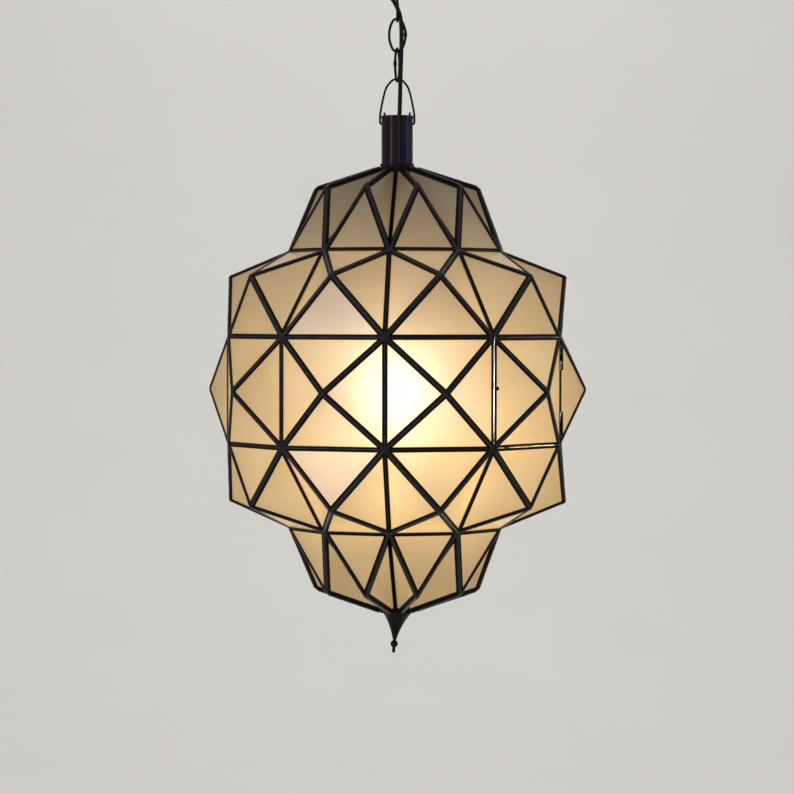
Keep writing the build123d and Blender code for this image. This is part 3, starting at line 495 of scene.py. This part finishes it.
def cutBetween(path, high, low):
    kept = []
    for before, after in zip(path, path[1:]):
        for level in (high, low):
            if before.z > level >= after.z:
                kept.append(before.lerp(after, (before.z - level) / (before.z - after.z)))
        if high > after.z > low:
            kept.append(after)
    return kept


flexLine = smoothLine("flexLine", flex["route"])
ends = [cut[1] for cut in flex["cuts"][1:]] + [-1.0]
for (part, high, above, below), low in zip(flex["cuts"], ends):
    path = cutBetween(flexLine, high, low)
    if part == "top":
        path = [flexLine[0]] + path
    tube = roundTube(f"flex-{part}", path, [flex["radius"]] * len(path), flex["sides"], "cable")
    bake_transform(tube)
    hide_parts(f"flex_{part}")

# Weld beads: each link is closed by a weld on one straight side, where the wire is a little swollen
weld = {
    "wire": 0.0015, "swell": 0.00062, "half": 0.0048, "lift": 0.0008, "rings": 15, "sides": 16,
    "strands": {1: (-0.00246, -0.00918), 2: (0.0095, 0.0), 3: (0.0, 0.0095)},  # from the link's middle
}
for link, (x, y) in weld["strands"].items():
    low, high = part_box(f"chain_link_{link}")
    middle = (low[2] + high[2]) / 2 + weld["lift"]
    path, radii = [], []
    for n in range(weld["rings"]):
        part = 2 * n / (weld["rings"] - 1) - 1
        lump = (1 - part * part) ** 1.5 * (1 + 0.12 * sin(5 * part + link))
        path.append(Vector((x, y, middle + part * weld["half"])))
        radii.append(weld["wire"] * 0.985 + weld["swell"] * lump)
    piece = roundTube(f"weld-bead-{link}", path, radii, weld["sides"], "steel")
    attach(piece, f"link_{link}")
print("chain welds made")

# Star: rings of corners of the glass body (radius, height) above and below its middle, as the panes meet
star = {
    "sides": 10, "turn": 14.2, "middle": -0.53, "edgingDepth": 0.003, "seam": 0.0001,
    "beltApex": (0.22, 0.0), "beltCorner": (0.2, 0.2 * sin(pi / 10)), "tierApex": (0.196, 0.131),
    "tierCorner": (0.1285, 0.1593), "crownApex": (0.095, 0.235), "crownPoint": 0.2655, "basePoint": 0.268,
    "neckOpening": 0.0206, "door": 1,
}


def corner(ring, step, up=1):
    radius, height = star[ring]
    angle = radians(star["turn"] + step * 360 / star["sides"])
    return Vector((radius * sin(angle), -radius * cos(angle), star["middle"] + up * height))


def atNeck(point, up):
    height = star["crownPoint"] if up > 0 else star["basePoint"]
    top = Vector((0, 0, star["middle"] + up * height))
    return top + (point - top) * (star["neckOpening"] / hypot(point.x, point.y))


def pyramidFacets(step):
    left, right = step - 0.5, step + 0.5
    facets = []
    apex = corner("beltApex", step)
    belt = [corner("beltCorner", left), corner("beltCorner", right),
            corner("beltCorner", right, -1), corner("beltCorner", left, -1)]
    facets += [(belt[n], belt[(n + 1) % 4], apex) for n in range(4)]
    for up in (1, -1):
        low = [corner("beltCorner", side, up) for side in (left, right)]
        high = [corner("tierCorner", side, up) for side in (left, right)]
        tip = corner("tierApex", step, up)
        facets += [
            (low[0], low[1], tip), (low[1], high[1], tip), (high[1], high[0], tip), (high[0], low[0], tip),
        ]
        crown = corner("crownApex", step, up)
        end = atNeck(crown, up)
        facets.append((high[0], high[1], crown))
        for side in high:
            facets.append((side, crown, end, atNeck(side, up)))
    return facets


def key(point):
    return tuple(round(c, 5) for c in point)


def outwardNormal(facet):
    normal = (facet[1] - facet[0]).cross(facet[2] - facet[0]).normalized()
    return normal if normal.dot(facet[0] - Vector((0, 0, star["middle"]))) > 0 else -normal


def starEdges():
    edges = {}
    for step in range(star["sides"]):
        for facet in pyramidFacets(step):
            normal = outwardNormal(facet)
            for n in range(len(facet)):
                a, b = facet[n], facet[(n + 1) % len(facet)]
                pair = tuple(sorted((key(a), key(b))))
                edges.setdefault(pair, {"ends": (a, b), "normals": []})["normals"].append(normal)
    return edges


def starCorners():
    corners = {}
    for step in range(star["sides"]):
        for facet in pyramidFacets(step):
            for point in facet:
                corners.setdefault(key(point), []).append(outwardNormal(facet))
    return corners


# Solder: a hand-run bead along every joint between two edgings, and a flattened puddle where joints meet.
# Puddles are (radius, height over the edging, in metres), sunk at the sharp corners to close them.
solder = {
    "proud": 0.00012, "most": 0.0019, "sides": 10, "pieces": 14, "unevenness": 0.10, "wave": 130.0,
    "short": 0.0024, "shortNeck": 0.004, "flat": 0.5, "wobble": 0.0006, "grain": 260.0,
    "puddles": {
        "beltCorner": (0.0052, 0.0003), "tierCorner": (0.0044, 0.0003), "beltApex": (0.0040, -0.0005),
        "tierApex": (0.0030, -0.0003), "crownApex": (0.0036, -0.0022),
    },
    "doorPuddle": (0.0024, 0.0), "reachMost": 0.004,
}


def solderLines(doorPart):
    bm = bmesh.new()
    radiusLayer = bm.verts.layers.float.new("beadRadius")
    puddleLayer = bm.verts.layers.float.new("puddleRadius")
    facingLayer = bm.verts.layers.float_vector.new("facing")
    step = star["door"]
    doorTip = corner("beltApex", step)
    doorKeys = {key(corner("beltCorner", side, up)) for side in (step - 0.5, step + 0.5) for up in (1, -1)}
    half = star["edgingDepth"] / 2
    for pair, edge in starEdges().items():
        inDoor = key(doorTip) in pair
        rim = pair[0] in doorKeys and pair[1] in doorKeys
        if len(edge["normals"]) < 2 or rim or inDoor != doorPart:
            continue
        lean = edge["normals"][0].angle(edge["normals"][1])
        radius = min(hypot(half * tan(lean / 2) + star["seam"], half) + solder["proud"], solder["most"])
        a, b = edge["ends"]
        along = (b - a).normalized()
        trims = []
        for end in (a, b):
            atDoor = doorPart and key(end) in doorKeys
            atNeckRing = hypot(end.x, end.y) < 1.1 * star["neckOpening"]
            trims.append(solder["shortNeck"] if atDoor or atNeckRing else solder["short"])
        for end in (bm.verts.new(a + along * trims[0]), bm.verts.new(b - along * trims[1])):
            end[radiusLayer] = radius
        bm.verts.ensure_lookup_table()
        bm.edges.new(bm.verts[-2:])
    corners = starCorners()
    for ring, usual in solder["puddles"].items():
        offset = 0.5 if "Corner" in ring else 0
        for n in range(star["sides"]):
            for up in ((1,) if ring == "beltApex" else (1, -1)):
                at = corner(ring, n + offset, up)
                if (key(at) == key(doorTip)) != doorPart:
                    continue
                size, stand = solder["doorPuddle"] if key(at) in doorKeys else usual
                around = corners[key(at)]
                facing = sum(around, Vector()).normalized()
                reach = half / min(facing.dot(normal) for normal in around)
                out = min(reach, solder["reachMost"]) + stand - size * solder["flat"]
                v = bm.verts.new(at + facing * out)
                v[puddleLayer] = size
                v[facingLayer] = facing
    mesh = bpy.data.meshes.new("solderLines")
    bm.to_mesh(mesh)
    bm.free()
    return mesh


def beadTree():
    tree = bpy.data.node_groups.new("solderBeads", "GeometryNodeTree")
    tree.interface.new_socket("Geometry", in_out="INPUT", socket_type="NodeSocketGeometry")
    for name, kind in (
        ("Sides", "NodeSocketInt"), ("Pieces", "NodeSocketInt"), ("Unevenness", "NodeSocketFloat"),
        ("Wave", "NodeSocketFloat"), ("Flatness", "NodeSocketFloat"), ("Wobble", "NodeSocketFloat"),
        ("Grain", "NodeSocketFloat"), ("Material", "NodeSocketMaterial"),
    ):
        tree.interface.new_socket(name, in_out="INPUT", socket_type=kind)
    tree.interface.new_socket("Geometry", in_out="OUTPUT", socket_type="NodeSocketGeometry")
    given = addNode(tree, "NodeGroupInput").outputs
    puddle = addNode(
        tree, "GeometryNodeInputNamedAttribute", {"Name": "puddleRadius"}, data_type="FLOAT"
    ).outputs[0]
    bead = addNode(
        tree, "GeometryNodeInputNamedAttribute", {"Name": "beadRadius"}, data_type="FLOAT"
    ).outputs[0]
    facing = addNode(
        tree, "GeometryNodeInputNamedAttribute", {"Name": "facing"}, data_type="FLOAT_VECTOR"
    ).outputs[0]
    isPuddle = addNode(
        tree, "FunctionNodeCompare", {0: puddle, 1: 0.0001}, data_type="FLOAT", operation="GREATER_THAN"
    ).outputs[0]
    split = addNode(
        tree, "GeometryNodeSeparateGeometry", {"Geometry": given["Geometry"], "Selection": isPuddle},
        domain="POINT",
    ).outputs
    where = addNode(tree, "GeometryNodeInputPosition").outputs[0]
    # a bead's radius wanders a little along its run
    lines = addNode(tree, "GeometryNodeMeshToCurve", {"Mesh": split["Inverted"]}).outputs[0]
    fine = addNode(tree, "GeometryNodeResampleCurve", {"Curve": lines, "Count": given["Pieces"]}).outputs[0]
    waves = addNode(
        tree, "ShaderNodeTexNoise", {"Vector": where, "Scale": given["Wave"], "Detail": 1.0}
    ).outputs[0]
    centred = addNode(tree, "ShaderNodeMath", {0: waves, 1: 0.5}, operation="SUBTRACT").outputs[0]
    swing = addNode(
        tree, "ShaderNodeMath", {0: centred, 1: given["Unevenness"]}, operation="MULTIPLY"
    ).outputs[0]
    factor = addNode(tree, "ShaderNodeMath", {0: swing, 1: 4.0, 2: 1.04}, operation="MULTIPLY_ADD").outputs[0]
    thick = addNode(tree, "ShaderNodeMath", {0: bead, 1: factor}, operation="MULTIPLY").outputs[0]
    wide = addNode(tree, "GeometryNodeSetCurveRadius", {"Curve": fine, "Radius": thick}).outputs[0]
    ringShape = addNode(
        tree, "GeometryNodeCurvePrimitiveCircle", {"Resolution": given["Sides"], "Radius": 1.0}
    ).outputs[0]
    tube = addNode(
        tree, "GeometryNodeCurveToMesh", {"Curve": wide, "Profile Curve": ringShape, "Fill Caps": True}
    )
    if "Scale" in tube.inputs:
        tree.links.new(thick, tube.inputs["Scale"])
    # a puddle lies flat on the joint, with a wandering edge
    ball = addNode(tree, "GeometryNodeMeshIcoSphere", {"Radius": 1.0, "Subdivisions": 3}).outputs[0]
    turned = addNode(tree, "FunctionNodeAlignRotationToVector", {"Vector": facing}, axis="Z").outputs[0]
    height = addNode(
        tree, "ShaderNodeMath", {0: puddle, 1: given["Flatness"]}, operation="MULTIPLY"
    ).outputs[0]
    size = addNode(tree, "ShaderNodeCombineXYZ", {"X": puddle, "Y": puddle, "Z": height}).outputs[0]
    balls = addNode(
        tree, "GeometryNodeInstanceOnPoints",
        {"Points": split["Selection"], "Instance": ball, "Rotation": turned, "Scale": size},
    ).outputs[0]
    real = addNode(tree, "GeometryNodeRealizeInstances", {"Geometry": balls}).outputs[0]
    grain = addNode(
        tree, "ShaderNodeTexNoise", {"Vector": where, "Scale": given["Grain"], "Detail": 1.0}
    ).outputs[0]
    inwards = addNode(
        tree, "ShaderNodeMath", {0: grain, 1: -1.0, 2: 0.2}, operation="MULTIPLY_ADD"
    ).outputs[0]
    depth = addNode(tree, "ShaderNodeMath", {0: inwards, 1: given["Wobble"]}, operation="MULTIPLY").outputs[0]
    normal = addNode(tree, "GeometryNodeInputNormal").outputs[0]
    push = addNode(tree, "ShaderNodeVectorMath", {0: normal, "Scale": depth}, operation="SCALE").outputs[0]
    handmade = addNode(tree, "GeometryNodeSetPosition", {"Geometry": real, "Offset": push}).outputs[0]
    joined = addNode(tree, "GeometryNodeJoinGeometry", {"Geometry": handmade})
    tree.links.new(tube.outputs[0], joined.inputs[0])
    smooth = addNode(
        tree, "GeometryNodeSetShadeSmooth", {"Geometry": joined.outputs[0], "Shade Smooth": True}
    ).outputs[0]
    whole = addNode(tree, "GeometryNodeRealizeInstances", {"Geometry": smooth}).outputs[0]
    done = addNode(
        tree, "GeometryNodeSetMaterial", {"Geometry": whole, "Material": given["Material"]}
    ).outputs[0]
    addNode(tree, "NodeGroupOutput", {"Geometry": done})
    return tree


def throughTree(name, mesh, tree, inputs, finish):
    source = bpy.data.objects.new(name + "Source", mesh)
    scene.collection.objects.link(source)
    modifier = source.modifiers.new("nodes", "NODES")
    modifier.node_group = tree
    for item in tree.interface.items_tree:
        if item.in_out == "INPUT" and item.name in inputs:
            modifier[item.identifier] = inputs[item.name]
    bpy.context.view_layer.update()
    seen = source.evaluated_get(bpy.context.evaluated_depsgraph_get())
    result = bpy.data.meshes.new_from_object(seen)
    bpy.data.objects.remove(source)
    return newPiece(name, result, finish)


beads = beadTree()
for body, doorPart in (("lantern", False), ("door", True)):
    piece = throughTree(
        f"solder-{body}", solderLines(doorPart), beads,
        {"Sides": solder["sides"], "Pieces": solder["pieces"], "Unevenness": solder["unevenness"],
         "Wave": solder["wave"], "Flatness": solder["flat"], "Wobble": solder["wobble"],
         "Grain": solder["grain"], "Material": finishes["solder"]},
        "solder",
    )
    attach(piece, body)
    print("solder", body, len(piece.data.polygons))

# Studio: a pale sweep below and far enough behind for a view from the back, and soft lamps
studio = {
    "paper": "#dcdad6", "paperPale": "#dedcd8", "floor": -1.75, "back": 6.5, "bend": 2.0, "width": 12.0,
    "front": -8.0, "top": 4.5, "bendSteps": 12, "worldLight": 0.42, "worldSeen": 0.72,
}


def paperFinish():
    material, tree = newTree("paleStudioPaper")
    here = addNode(tree, "ShaderNodeTexCoord").outputs["Object"]
    cloud = addNode(tree, "ShaderNodeTexNoise", {"Vector": here, "Scale": 3.0, "Detail": 2.0}).outputs[0]
    tint = addNode(
        tree, "ShaderNodeValToRGB", {"Fac": cloud}, stops=[(0.3, studio["paper"]), (0.7, studio["paperPale"])]
    ).outputs[0]
    return finished(material, {"Base Color": tint, "Roughness": 0.9})


def sweep():
    profile = [Vector((0, studio["front"], studio["floor"]))]
    centre = Vector((0, studio["back"] - studio["bend"], studio["floor"] + studio["bend"]))
    for n in range(studio["bendSteps"] + 1):
        a = pi / 2 * n / studio["bendSteps"]
        profile.append(centre + Vector((0, sin(a), -cos(a))) * studio["bend"])
    profile.append(Vector((0, studio["back"], studio["top"])))
    made = bmesh.new()
    sides = [
        [made.verts.new(p + Vector((x, 0, 0))) for p in profile] for x in (-studio["width"], studio["width"])
    ]
    for n in range(len(profile) - 1):
        made.faces.new((sides[0][n], sides[1][n], sides[1][n + 1], sides[0][n + 1])).smooth = True
    mesh = bpy.data.meshes.new("sweep")
    made.to_mesh(mesh)
    made.free()
    mesh.materials.append(paperFinish())
    piece = bpy.data.objects.new("sweep", mesh)
    scene.collection.objects.link(piece)


sweep()
world = bpy.data.worlds.new("studioAir")
scene.world = world
world.use_nodes = True
world.node_tree.nodes.clear()
rays = addNode(world.node_tree, "ShaderNodeLightPath").outputs
seen = addNode(
    world.node_tree, "ShaderNodeMath", {0: rays["Is Camera Ray"], 1: rays["Is Transmission Ray"]},
    operation="MAXIMUM",
).outputs[0]
seen = addNode(
    world.node_tree, "ShaderNodeMath", {0: seen, 1: rays["Is Glossy Ray"]}, operation="MAXIMUM"
).outputs[0]
level = addNode(
    world.node_tree, "ShaderNodeMapRange",
    {"Value": seen, "To Min": studio["worldLight"], "To Max": studio["worldSeen"]},
).outputs[0]
air = addNode(
    world.node_tree, "ShaderNodeBackground", {"Color": colour("#f4f3f1"), "Strength": level}
).outputs[0]
addNode(world.node_tree, "ShaderNodeOutputWorld", {"Surface": air})

lamps = [
    {"name": "keyLamp", "at": (-2.2, -2.6, 1.6), "size": (1.8, 1.8), "watts": 60, "tint": "#fffaf2",
     "shows": False},
    {"name": "fillLamp", "at": (2.8, -2.2, 0.2), "size": (2.0, 2.0), "watts": 30, "tint": "#f2f6ff",
     "shows": False},
    {"name": "backdropLamp", "at": (0.0, 0.6, 2.6), "size": (2.4, 2.4), "watts": 60, "tint": "#ffffff",
     "shows": False},
    {"name": "paperLamp", "at": (0.0, 2.8, 2.6), "size": (3.0, 1.5), "watts": 84, "tint": "#ffffff",
     "shows": False, "aim": (0.0, 6.5, -0.4)},
    {"name": "tallStrip", "at": (-2.17, -2.27, -0.5), "size": (0.42, 1.6), "watts": 17, "tint": "#c6d2ff",
     "shows": True},  # mirrored in two front panes
]
lampAim = (0.0, 0.0, -0.5)
for lamp in lamps:
    light = bpy.data.lights.new(lamp["name"], "AREA")
    light.shape = "RECTANGLE"
    light.size, light.size_y = lamp["size"]
    light.energy = lamp["watts"]
    light.color = colour(lamp["tint"])[:3]
    holder = bpy.data.objects.new(lamp["name"], light)
    holder.location = lamp["at"]
    aim = Vector(lamp.get("aim", lampAim)) - Vector(lamp["at"])
    holder.rotation_euler = aim.to_track_quat("-Z", "Y").to_euler()
    holder.visible_camera = False
    holder.visible_glossy = lamp["shows"]
    scene.collection.objects.link(holder)
print("studio lit")
